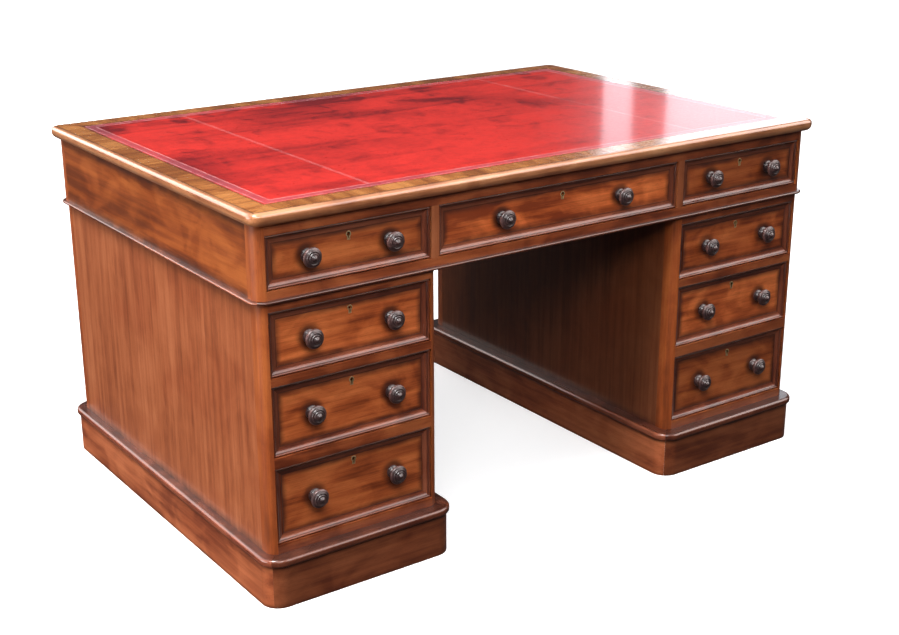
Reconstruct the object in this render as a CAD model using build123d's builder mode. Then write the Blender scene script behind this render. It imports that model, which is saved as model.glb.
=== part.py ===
from build123d import *
import os

# Partners' writing desk in mahogany.  A leather-lined top section with a frieze of three
# drawers stands on two pedestals of three drawers, and both long sides are the same, so two
# people can sit facing each other.  Millimetres.  X runs along the desk, -Y faces the front
# user, +Z is up, and the origin is on the floor under the middle of the desk.

os.makedirs("parts", exist_ok=True)

# ---- driving sizes -----------------------------------------------------------------------
desk_width = 1413            # over the edge of the top
desk_depth = 936
desk_height = 762

top_thickness = 25
top_corner = 24              # plan radius of the top
top_nose_upper = 9           # roundings of the edge
top_nose_lower = 13
top_border = 57              # crossbanded border round the leather
leather_thickness = 1.5
top_front_overhang = 17      # from the edge of the top to the frieze
top_end_overhang = 13.5

frieze_corner = 22           # plan radius of the frieze posts
frieze_top_rail = 20
frieze_drawer = 101          # height of the frieze drawer openings
frieze_bottom_rail = 16.5
frieze_post = 20             # width of a corner post, seen from the front
frieze_divider = 17          # upright between two frieze drawers
frieze_middle_width = 612    # of the opening of the wide drawer

waist_height = 6             # half-round moulding under the frieze
waist_projection = 8
waist_nose = 2.6
waist_width = 60             # of the hidden frame that the moulding is worked on
soffit_thickness = 6         # board over the kneehole

pedestal_width = 379
pedestal_side_inset = 5      # pedestal behind the frieze, at the ends
pedestal_front_inset = 1     # and at the front
pedestal_corner = 20
pedestal_post = 16
pedestal_top_rail = 16.5
pedestal_upper_rail = 16     # under the upper drawer
pedestal_lower_rail = 21.5   # under the middle drawer
pedestal_bottom_rail = 18
drawer_graduation = 14.25    # each pedestal drawer is this much deeper than the one above

post_depth = 34              # of every corner post, along Y
rail_depth = 45
inner_board = 12             # dustboards, and the pedestals' top and bottom boards
partition = 18               # between the front and the rear drawers
runner_width = 26
kicker_height = 12

plinth_height = 86
plinth_corner = 37
plinth_board = 24
plinth_end_projection = 14.5  # beyond the pedestal, away from the kneehole
plinth_inner_projection = 21.5  # and into the kneehole
plinth_front_projection = 21
cap_height = 17              # moulding on top of the plinth
cap_projection = 6
cap_width = 55
cap_nose_upper = 7
cap_nose_lower = 6

# ---- drawers -----------------------------------------------------------------------------
drawer_gap = 1.0             # running clearance all round a drawer
face_thickness = 22
field_recess = 10            # drawer field behind the face of the rails
face_moulding_width = 17
face_moulding_height = 7
face_moulding_lip = 0.6      # thickness of its inner edge
face_bead = 2.2              # radius of the bead round its outer edge
face_hollow = (9, 1.8)       # a point on its hollow: distance inwards and height
lining = 11                  # drawer sides
lining_back = 10
lining_bottom = 7
bottom_raise = 9             # drawer bottom above the lower edge of the sides
side_drop = 5                # top of the sides below the top of the face
back_drop = 9
back_clearance = 20          # between a closed drawer and the partition
stop_size = (30, 12, 5)      # width, depth and height of a drawer stop
stop_gap = 0.5

# Outline of the turned knob: radius and height above the field at each place
knob_foot = (13, 3.5)
knob_neck_low = (10, 5)
knob_neck = (8, 9.5)
knob_neck_high = (10.5, 14)
knob_head_low = (17, 17.5)
knob_head = (19, 21)
knob_head_high = (17, 25)
knob_brow = (12.5, 28)
knob_button = (7, 29.6)
knob_button_high = (5, 32.4)
knob_button_round = (3.4, 33.5)
knob_tip = (1.5, 34)
knob_spread = 87.5           # from the middle of a pedestal or side drawer
knob_spread_middle = 152     # from the middle of the wide drawer

lock_width = 58
lock_height = 38
lock_depth = 11
lock_gap = 0.5
keyhole_drop = 25            # centre of the keyhole below the top of the drawer face
escutcheon_radius = 5.5
escutcheon_tail = (6.5, 11)  # width and length of the part below the round
escutcheon_depth = 3
escutcheon_proud = 0.6
keyhole_radius = 3.2
keyhole_tail = (2.6, 8)

# ---- heights and half sizes worked out from them -------------------------------------------
top_underside = desk_height - top_thickness
frieze_open_high = top_underside - frieze_top_rail
frieze_open_low = frieze_open_high - frieze_drawer
frieze_low = frieze_open_low - frieze_bottom_rail
waist_low = frieze_low - waist_height
plinth_top = plinth_height + cap_height

frieze_x = desk_width / 2 - top_end_overhang
frieze_y = desk_depth / 2 - top_front_overhang
pedestal_x = frieze_x - pedestal_side_inset
pedestal_y = frieze_y - pedestal_front_inset
pedestal_inner_x = pedestal_x - pedestal_width
pedestal_middle_x = (pedestal_x + pedestal_inner_x) / 2
divider_inner_x = frieze_middle_width / 2
divider_outer_x = divider_inner_x + frieze_divider

drawer_space = (waist_low - pedestal_top_rail - pedestal_upper_rail - pedestal_lower_rail
                - pedestal_bottom_rail - plinth_top)
upper_drawer = drawer_space / 3 - drawer_graduation
middle_drawer = drawer_space / 3
lower_drawer = drawer_space / 3 + drawer_graduation
upper_open_high = waist_low - pedestal_top_rail
upper_open_low = upper_open_high - upper_drawer
middle_open_high = upper_open_low - pedestal_upper_rail
middle_open_low = middle_open_high - middle_drawer
lower_open_high = middle_open_low - pedestal_lower_rail
lower_open_low = lower_open_high - lower_drawer

# Each opening: name, left x, right x, low z, high z, face of the rails, knob spread, seen
# from the side that it faces.
frieze_side_x = (divider_outer_x, frieze_x - frieze_post)
pedestal_side_x = (pedestal_inner_x + pedestal_post, pedestal_x - pedestal_post)
openings = [("frieze_middle", -divider_inner_x, divider_inner_x, frieze_open_low,
             frieze_open_high, frieze_y, knob_spread_middle)]
for hand, sign in (("left", -1), ("right", 1)):
    frieze_edges = sorted(sign * x for x in frieze_side_x)
    pedestal_edges = sorted(sign * x for x in pedestal_side_x)
    openings.append((f"frieze_{hand}", *frieze_edges, frieze_open_low, frieze_open_high,
                     frieze_y, knob_spread))
    for level, low, high in (("upper", upper_open_low, upper_open_high),
                             ("middle", middle_open_low, middle_open_high),
                             ("lower", lower_open_low, lower_open_high)):
        openings.append((f"{hand}_{level}", *pedestal_edges, low, high, pedestal_y, knob_spread))

# The two long sides: how x and y turn from the front to each side.
sides = {"front": 1, "rear": -1}


# ---- helpers -------------------------------------------------------------------------------
def block(x_low, x_high, y_low, y_high, z_low, z_high, place=Plane.XY):
    """A board between two corners in the frame of a plane."""
    middle = ((x_low + x_high) / 2, (y_low + y_high) / 2)
    with BuildPart() as piece:
        with BuildSketch(place.offset(z_low)):
            with Locations(middle):
                Rectangle(x_high - x_low, y_high - y_low)
        extrude(amount=z_high - z_low)
    return piece.part


def mitred_frame(middle_x, size_x, size_y, corner, width, low, height, nose_upper, nose_lower):
    """Four mitred lengths round a rectangle, with rounded corners and a rounded outer edge."""
    with BuildPart() as slab:
        with BuildSketch(Plane((middle_x, 0, low))):
            RectangleRounded(size_x, size_y, corner)
        extrude(amount=height)
        if nose_upper:
            fillet(slab.faces().sort_by(Axis.Z)[-1].edges(), nose_upper)
        if nose_lower:
            fillet(slab.faces().sort_by(Axis.Z)[0].edges(), nose_lower)
    lengths = []
    for run, reach, turn in ((size_x, size_y, 0), (size_y, size_x, 90),
                             (size_x, size_y, 180), (size_y, size_x, 270)):
        mitre = Plane((middle_x, 0, low)).rotated((0, 0, turn))
        with BuildPart() as length:
            add(slab.part)
            with BuildSketch(mitre):
                with BuildLine():
                    Polyline((-run / 2, -reach / 2), (run / 2, -reach / 2),
                             (run / 2 - width, width - reach / 2),
                             (width - run / 2, width - reach / 2), close=True)
                make_face()
            extrude(amount=height, mode=Mode.INTERSECT)
        lengths.append(length.part)
    return lengths


def corner_posts(middle_x, size_x, size_y, corner, post_width, low, high):
    """Four solid corner posts, cut from a rectangle with rounded corners."""
    posts = []
    for x_sign in (-1, 1):
        for y_sign in (-1, 1):
            spot = (x_sign * (size_x - post_width) / 2, y_sign * (size_y - post_depth) / 2)
            with BuildPart() as post:
                with BuildSketch(Plane((middle_x, 0, low))):
                    RectangleRounded(size_x, size_y, corner)
                    with Locations(spot):
                        Rectangle(post_width, post_depth, mode=Mode.INTERSECT)
                extrude(amount=high - low)
            posts.append(post.part)
    return posts


def write_node(name, pieces):
    """Write a node as its separate solids."""
    node = Compound(label=name, children=list(pieces))
    export_step(node, f"parts/{name}.step")


def opening_plane(side, opening):
    """Plane at the middle of a drawer opening, x to the right and z out towards the user."""
    _, left, right, low, high, face_y, _ = opening
    turn = sides[side]
    return Plane(origin=(turn * (left + right) / 2, -turn * face_y, (low + high) / 2),
                 x_dir=(turn, 0, 0), z_dir=(0, -turn, 0))


def keyhole_outline(radius, tail):
    """A round with a straight tail below it."""
    tail_width, tail_length = tail
    Circle(radius)
    with Locations((0, -tail_length / 2)):
        Rectangle(tail_width, tail_length)


# ---- drawers -------------------------------------------------------------------------------
def face_board(place, width, height):
    """The drawer front with its lock pocket and keyhole."""
    keyhole = Plane(place.from_local_coords((0, height / 2 - keyhole_drop, -field_recess)),
                    x_dir=place.x_dir, z_dir=place.z_dir)
    with BuildPart() as board:
        with BuildSketch(place.offset(-field_recess)):
            Rectangle(width, height)
        extrude(amount=-face_thickness)
        with BuildSketch(place.offset(-field_recess - face_thickness)):
            with Locations((0, (height - lock_height) / 2)):
                Rectangle(lock_width, lock_height)
        extrude(amount=lock_depth, mode=Mode.SUBTRACT)
        with BuildSketch(keyhole):
            keyhole_outline(escutcheon_radius, escutcheon_tail)
        extrude(amount=-face_thickness, mode=Mode.SUBTRACT)
    return board.part


def face_moulding(place, width, height):
    """Four mitred strips of bead and cove moulding round the face."""
    strips = []
    shoulder = face_moulding_height - face_bead
    for edge, reach, run_length in ((place.y_dir, height / 2, width),
                                    (-place.y_dir, height / 2, width),
                                    (place.x_dir, width / 2, height),
                                    (-place.x_dir, width / 2, height)):
        run = place.z_dir.cross(edge)
        middle = place.origin - place.z_dir * field_recess + edge * reach
        with BuildPart() as strip:
            with BuildSketch(Plane(middle, x_dir=-edge, z_dir=run)):
                with BuildLine():
                    Line((0, 0), (0, shoulder))
                    ThreePointArc((0, shoulder), (face_bead, face_moulding_height),
                                  (2 * face_bead, shoulder))
                    ThreePointArc((2 * face_bead, shoulder), face_hollow,
                                  (face_moulding_width, face_moulding_lip))
                    Polyline((face_moulding_width, face_moulding_lip),
                             (face_moulding_width, 0), (0, 0))
                make_face()
            extrude(amount=run_length / 2, both=True)
            with BuildSketch(Plane(middle, x_dir=run, z_dir=place.z_dir)):
                with BuildLine():
                    Polyline((-run_length / 2, 0), (run_length / 2, 0),
                             (run_length / 2 - face_moulding_width, face_moulding_width),
                             (face_moulding_width - run_length / 2, face_moulding_width),
                             close=True)
                make_face()
            extrude(amount=2 * face_moulding_height, mode=Mode.INTERSECT)
        strips.append(strip.part)
    return strips


def knob(place, spread):
    """A turned mushroom knob with a collar, standing on the drawer field."""
    foot = Vector(*place.from_local_coords((spread, 0, -field_recess)))
    foot_radius = knob_foot[0]
    height = knob_tip[1]
    with BuildPart() as turning:
        with BuildSketch(Plane(foot, x_dir=place.x_dir, z_dir=-place.y_dir)):
            with BuildLine():
                Polyline((0, 0), (foot_radius, 0), knob_foot, knob_neck_low)
                ThreePointArc(knob_neck_low, knob_neck, knob_neck_high)
                Line(knob_neck_high, knob_head_low)
                ThreePointArc(knob_head_low, knob_head, knob_head_high)
                ThreePointArc(knob_head_high, knob_brow, knob_button)
                Line(knob_button, knob_button_high)
                ThreePointArc(knob_button_high, knob_button_round, knob_tip)
                Polyline(knob_tip, (0, height), (0, 0))
            make_face()
        revolve(axis=Axis(foot, place.z_dir))
    return turning.part


def drawer_lock(place, height):
    """The lock case in its pocket, bolt drawn back, and the keyhole escutcheon."""
    drop = height / 2 - keyhole_drop
    back = -field_recess - face_thickness
    front = Plane(place.from_local_coords((0, drop, escutcheon_proud - field_recess)),
                  x_dir=place.x_dir, z_dir=place.z_dir)
    with BuildPart() as case:
        with BuildSketch(place.offset(back + lock_gap)):
            with Locations((0, (height - lock_height) / 2)):
                Rectangle(lock_width - 2 * lock_gap, lock_height - 2 * lock_gap)
        extrude(amount=lock_depth - lock_gap)
        with BuildSketch(place.offset(back + lock_depth)):
            with Locations((0, drop)):
                Circle(keyhole_radius)
        extrude(amount=-lock_depth / 2, mode=Mode.SUBTRACT)
    with BuildPart() as escutcheon:
        with BuildSketch(front):
            keyhole_outline(escutcheon_radius, escutcheon_tail)
        extrude(amount=-escutcheon_depth)
        with BuildSketch(front):
            keyhole_outline(keyhole_radius, keyhole_tail)
        extrude(amount=-escutcheon_depth, mode=Mode.SUBTRACT)
    return [case.part, escutcheon.part]


def drawer_box(place, width, height, face_y):
    """Two sides, a back and a bottom behind the face."""
    front = -field_recess - face_thickness
    back = back_clearance + partition / 2 - face_y
    low = -height / 2
    bottom_top = low + bottom_raise + lining_bottom
    inner = width / 2 - lining
    return [
        block(-width / 2, -inner, low, height / 2 - side_drop, back, front, place),
        block(inner, width / 2, low, height / 2 - side_drop, back, front, place),
        block(-inner, inner, low + bottom_raise, bottom_top, back, front, place),
        block(-inner, inner, bottom_top, height / 2 - back_drop, back, back + lining_back, place),
    ]


for side in sides:
    for opening in openings:
        name, left, right, low, high, face_y, spread = opening
        width = right - left - 2 * drawer_gap
        height = high - low - 2 * drawer_gap
        place = opening_plane(side, opening)
        face = [face_board(place, width, height), *face_moulding(place, width, height),
                knob(place, -spread), knob(place, spread)]
        lock = drawer_lock(place, height)
        if side == "front":
            write_node(f"front_{name}_face", face)
            write_node(f"front_{name}_lock", lock)
        else:
            write_node(f"rear_{name}_face", face + lock)
        write_node(f"{side}_{name}_box", drawer_box(place, width, height, face_y))

# ---- top section ---------------------------------------------------------------------------
write_node("top_border", mitred_frame(0, desk_width, desk_depth, top_corner, top_border,
                                      top_underside, top_thickness, top_nose_upper,
                                      top_nose_lower))
panel_x = desk_width / 2 - top_border
panel_y = desk_depth / 2 - top_border
with BuildPart() as top_panel:
    with BuildSketch(Plane.XY.offset(top_underside)):
        Rectangle(2 * panel_x, 2 * panel_y)
    extrude(amount=top_thickness - leather_thickness)
top_panel.part.label = "top_panel"
export_step(top_panel.part, "parts/top_panel.step")

with BuildPart() as writing_leather:
    with BuildSketch(Plane.XY.offset(desk_height - leather_thickness)):
        Rectangle(2 * panel_x, 2 * panel_y)
    extrude(amount=leather_thickness)
writing_leather.part.label = "writing_leather"
export_step(writing_leather.part, "parts/writing_leather.step")

frieze_ends = corner_posts(0, 2 * frieze_x, 2 * frieze_y, frieze_corner, frieze_post,
                           frieze_low, top_underside)
for x in (-frieze_x, frieze_x - frieze_post):
    frieze_ends.append(block(x, x + frieze_post, post_depth - frieze_y, frieze_y - post_depth,
                             frieze_low, top_underside))
write_node("frieze_ends", frieze_ends)

rail_reach = frieze_x - frieze_post
frieze_rails = []
frieze_partitions = [block(-rail_reach, rail_reach, -partition / 2, partition / 2,
                           frieze_low, top_underside)]
frieze_runners = []
for turn in sides.values():
    front_edges = sorted((-turn * frieze_y, -turn * (frieze_y - rail_depth)))
    behind_edges = sorted((-turn * (frieze_y - rail_depth), -turn * partition / 2))
    divider_edges = sorted((-turn * frieze_y, -turn * partition / 2))
    frieze_rails.append(block(-rail_reach, rail_reach, *front_edges,
                              frieze_open_high, top_underside))
    frieze_rails.append(block(-rail_reach, rail_reach, *front_edges,
                              frieze_low, frieze_open_low))
    for x in (-divider_outer_x, divider_inner_x):
        frieze_partitions.append(block(x, x + frieze_divider, *divider_edges,
                                       frieze_open_low, frieze_open_high))
    for x in (-rail_reach, -divider_inner_x - runner_width, -divider_inner_x,
              divider_inner_x - runner_width, divider_inner_x, rail_reach - runner_width):
        frieze_runners.append(block(x, x + runner_width, *behind_edges,
                                    frieze_low, frieze_open_low))
        frieze_runners.append(block(x, x + runner_width, *behind_edges,
                                    top_underside - kicker_height, top_underside))

# ---- drawer stops, one pair behind each face -------------------------------------------------
pedestal_rails = []
for side in sides:
    for opening in openings:
        name, left, right, low, high, face_y, _ = opening
        place = opening_plane(side, opening)
        stop_width, stop_depth, stop_height = stop_size
        stop_front = -field_recess - face_thickness - stop_gap
        for x in ((left - right) / 4, (right - left) / 4):
            stop = block(x - stop_width / 2, x + stop_width / 2, (low - high) / 2,
                         (low - high) / 2 + stop_height, stop_front - stop_depth, stop_front,
                         place)
            if name.startswith("frieze"):
                frieze_rails.append(stop)
            else:
                pedestal_rails.append(stop)

write_node("frieze_rails", frieze_rails)
write_node("frieze_partitions", frieze_partitions)
write_node("frieze_runners", frieze_runners)

waist_x = frieze_x + waist_projection
waist_y = frieze_y + waist_projection
write_node("waist_moulding", mitred_frame(0, 2 * waist_x, 2 * waist_y,
                                          frieze_corner + waist_projection, waist_width,
                                          waist_low, waist_height, waist_nose, waist_nose))
with BuildPart() as kneehole_soffit:
    with BuildSketch(Plane.XY.offset(frieze_low - soffit_thickness)):
        Rectangle(2 * (waist_x - waist_width), 2 * (waist_y - waist_width))
    extrude(amount=soffit_thickness)
kneehole_soffit.part.label = "kneehole_soffit"
export_step(kneehole_soffit.part, "parts/kneehole_soffit.step")

# ---- pedestals -------------------------------------------------------------------------------
pedestal_boards = []
plinths = []
plinth_caps = []
pedestal_reach = pedestal_width / 2 - pedestal_post
rail_levels = ((upper_open_high, waist_low), (middle_open_high, upper_open_low),
               (lower_open_high, middle_open_low), (plinth_top, lower_open_low))
board_tops = (waist_low, upper_open_low, middle_open_low)
for hand, sign in (("left", -1), ("right", 1)):
    middle_x = sign * pedestal_middle_x
    left = middle_x - pedestal_reach
    right = middle_x + pedestal_reach
    pedestal_sides = corner_posts(middle_x, pedestal_width, 2 * pedestal_y, pedestal_corner,
                                  pedestal_post, plinth_top, waist_low)
    for x in (middle_x - pedestal_width / 2, right):
        pedestal_sides.append(block(x, x + pedestal_post, post_depth - pedestal_y,
                                    pedestal_y - post_depth, plinth_top, waist_low))
    write_node(f"{hand}_pedestal_sides", pedestal_sides)

    for turn in sides.values():
        rail_edges = sorted((-turn * pedestal_y, -turn * (pedestal_y - rail_depth)))
        board_edges = sorted((-turn * (pedestal_y - rail_depth), -turn * partition / 2))
        for low, high in rail_levels:
            pedestal_rails.append(block(left, right, *rail_edges, low, high))
        for high in board_tops:
            pedestal_boards.append(block(left, right, *board_edges, high - inner_board, high))
        pedestal_boards.append(block(left, right, *board_edges, plinth_top, lower_open_low))
    pedestal_boards.append(block(left, right, -partition / 2, partition / 2,
                                 plinth_top, waist_low))

    plinth_width = pedestal_width + plinth_end_projection + plinth_inner_projection
    plinth_x = middle_x + sign * (plinth_end_projection - plinth_inner_projection) / 2
    plinth_y = pedestal_y + plinth_front_projection
    plinths += mitred_frame(plinth_x, plinth_width, 2 * plinth_y, plinth_corner, plinth_board,
                            0, plinth_height, 0, 0)
    plinth_caps += mitred_frame(plinth_x, plinth_width + 2 * cap_projection,
                                2 * (plinth_y + cap_projection),
                                plinth_corner + cap_projection, cap_width,
                                plinth_height, cap_height, cap_nose_upper, cap_nose_lower)

write_node("pedestal_rails", pedestal_rails)
write_node("pedestal_boards", pedestal_boards)
write_node("plinths", plinths)
write_node("plinth_caps", plinth_caps)
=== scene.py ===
"""The looks of a partners' writing desk, built round its CAD frame.

Every show surface of the desk is remade here as separate boards, mouldings, turnings and
brasswork, each in French-polished mahogany, tooled leather or metal.  Sizes and places come
from the frame; metres, with the front drawers facing -Y.
"""

from __future__ import annotations

import logging
import math
import random
from collections.abc import Callable
from dataclasses import dataclass, field, replace
from enum import Enum

import bmesh
import bpy
from bmesh.types import BMesh, BMEdge
from mathutils import Matrix, Vector


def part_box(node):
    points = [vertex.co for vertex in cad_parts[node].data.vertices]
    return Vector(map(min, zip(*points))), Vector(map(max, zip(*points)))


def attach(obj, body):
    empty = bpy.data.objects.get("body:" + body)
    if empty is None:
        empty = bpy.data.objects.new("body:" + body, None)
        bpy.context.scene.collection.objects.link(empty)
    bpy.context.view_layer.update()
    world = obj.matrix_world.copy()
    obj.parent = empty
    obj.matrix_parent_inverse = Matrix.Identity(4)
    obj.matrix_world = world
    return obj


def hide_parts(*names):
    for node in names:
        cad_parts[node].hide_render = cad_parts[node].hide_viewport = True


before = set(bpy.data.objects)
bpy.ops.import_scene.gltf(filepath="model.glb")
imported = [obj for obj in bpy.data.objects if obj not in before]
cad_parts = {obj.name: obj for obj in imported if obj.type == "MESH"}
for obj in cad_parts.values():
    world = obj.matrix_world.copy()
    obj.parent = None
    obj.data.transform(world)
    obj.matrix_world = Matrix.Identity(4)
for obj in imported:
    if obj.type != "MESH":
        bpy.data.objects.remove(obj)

logging.basicConfig(level=logging.INFO, format="%(message)s")
log = logging.getLogger("desk")

MM = 0.001
FAR = 9.0  # further than any edge or knob, so that a board shows no sign of one
TINY = 1e-6
CRISP_ANGLE = 0.6  # radians between two faces, past which ease() takes off their edge
Pair = tuple[float, float]
Triple = tuple[float, float, float]
Material = bpy.types.Material
Shade = Callable[[Vector], float] | None
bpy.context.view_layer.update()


class Grain(Enum):
    """Where a mahogany finish finds the direction of its grain."""

    BOARD = "board"
    ALONG_X = "x"
    ALONG_Y = "y"
    ALONG_Z = "z"


# ---- shader graphs ----


def maths(operation: str, swapped: bool = False) -> Callable[..., Socket]:
    """Makes a method of Socket that adds a Math node.

    Args:
        operation: what the node does.
        swapped: whether the socket is its second value, as in a reflected operator.

    Returns:
        The method.
    """

    def method(self: Socket, other: object = 0.0) -> Socket:
        """A Math node on this value and, where it takes two, another."""
        pair = (other, self) if swapped else (self, other)
        return self.graph.node("ShaderNodeMath", {"operation": operation}, dict(enumerate(pair)))

    return method


class Socket:
    """A value in a shader graph that can be used in Python expressions.

    least and most give the smaller and the larger of two values, and wave gives the sine.
    """

    __add__, __radd__ = maths("ADD"), maths("ADD", True)
    __sub__, __rsub__ = maths("SUBTRACT"), maths("SUBTRACT", True)
    __mul__, __rmul__ = maths("MULTIPLY"), maths("MULTIPLY", True)
    __abs__, __gt__ = maths("ABSOLUTE"), maths("GREATER_THAN")
    least, most, wave = maths("MINIMUM"), maths("MAXIMUM"), maths("SINE")

    def __init__(self, graph: Graph, output: bpy.types.NodeSocket) -> None:
        """Wraps an output socket of a graph."""
        self.graph = graph
        self.output = output

    def ramp(self, low: float, high: float) -> Socket:
        """0 below low, 1 above high and a smooth step between; low may be the larger."""
        return self.graph.node("ShaderNodeMapRange", {"interpolation_type": "SMOOTHSTEP"},
                               {"Value": self, "From Min": low, "From Max": high})


class Graph:
    """The shader nodes of a world or a material."""

    def __init__(self, owner: bpy.types.World | str) -> None:
        """Starts an empty node tree.

        Args:
            owner: the world whose nodes they are, or the name of a new material.
        """
        self.owner = bpy.data.materials.new(owner) if isinstance(owner, str) else owner
        self.owner.use_nodes = True
        self.tree = self.owner.node_tree
        self.tree.nodes.clear()

    def node(self, kind: str, settings: dict | None = None, inputs: dict | None = None,
             output: int | str = 0) -> Socket | None:
        """Adds a node.

        Args:
            kind: the node's type.
            settings: its settings; "stops" are a ramp's positions and colours.
            inputs: values or links of its sockets.
            output: which output to return.

        Returns:
            The chosen output, or nothing where the node has none.
        """
        made = self.tree.nodes.new(kind)
        for key, value in (settings or {}).items():
            if key == "stops":
                self._stops(made.color_ramp, value)
            else:
                setattr(made, key, value)
        for key, value in (inputs or {}).items():
            if isinstance(value, Socket):
                self.tree.links.new(value.output, made.inputs[key])
            else:
                made.inputs[key].default_value = value
        return Socket(self, made.outputs[output]) if made.outputs else None

    @staticmethod
    def _stops(ramp: bpy.types.ColorRamp, stops: list[tuple[float, tuple]]) -> None:
        """Sets a ramp's stops from positions and colours."""
        while len(ramp.elements) < len(stops):
            ramp.elements.new(1.0)
        for element, (position, colour) in zip(ramp.elements, stops):
            element.position = position
            element.color = (*colour, 1.0)

    def noise(self, vector: Socket, scale: Triple | float, detail: float = 2.0,
              distortion: float = 0.0) -> Socket:
        """Noise between 0 and 1 on a vector, scaled as a whole or part by part."""
        scaled = self.node("ShaderNodeVectorMath", {"operation": "MULTIPLY"}, {
            0: vector, 1: scale if isinstance(scale, tuple) else (scale,) * 3})
        return self.node("ShaderNodeTexNoise", {}, {
            "Vector": scaled, "Scale": 1.0, "Detail": detail, "Distortion": distortion})

    def mix(self, amount: object, first: object, second: object, blend: str = "MIX") -> Socket:
        """Mixes two colours."""
        return self.node("ShaderNodeMix", {"data_type": "RGBA", "blend_type": blend},
                         {0: amount, 6: first, 7: second}, 2)

    def parts(self, vector: Socket) -> tuple[Socket, Socket, Socket]:
        """The three numbers of a vector."""
        split = self.node("ShaderNodeSeparateXYZ", {}, {0: vector}).output.node
        return tuple(Socket(self, one) for one in split.outputs)

    def object_place(self) -> Socket:
        """Place on the object, in metres."""
        return self.node("ShaderNodeTexCoord", {}, {}, "Object")

    def attribute(self, name: str, output: str) -> Socket:
        """A value stored on the mesh."""
        return self.node("ShaderNodeAttribute", {"attribute_name": name}, {}, output)

    def along(self, grain: Grain) -> Socket:
        """Place with the grain along the first axis."""
        if grain is Grain.BOARD:
            return self.attribute("grain", "Vector")
        x, y, z = self.parts(self.object_place())
        order = {Grain.ALONG_X: (x, y, z), Grain.ALONG_Y: (y, z, x), Grain.ALONG_Z: (z, x, y)}[grain]
        return self.node("ShaderNodeCombineXYZ", {}, dict(enumerate(order)))

    def surface(self, **values: object) -> Material:
        """Ends a material with a Principled shader.

        Args:
            values: its sockets' values or links by name, with _ for a space.

        Returns:
            The finished material.
        """
        shader = self.node("ShaderNodeBsdfPrincipled", {},
                           {key.replace("_", " "): value for key, value in values.items()})
        self.node("ShaderNodeOutputMaterial", {}, {"Surface": shader})
        return self.owner

    def bump(self, height: Socket, distance: float, strength: float = 1.0) -> Socket:
        """A normal from a height."""
        return self.node("ShaderNodeBump", {},
                         {"Height": height, "Distance": distance, "Strength": strength})


def rgb(colour: Triple, strength: float = 1.0) -> tuple[float, float, float, float]:
    """An opaque colour, with its strength changed."""
    return (*(strength * part for part in colour), 1.0)


# ---- finishes ----


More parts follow.
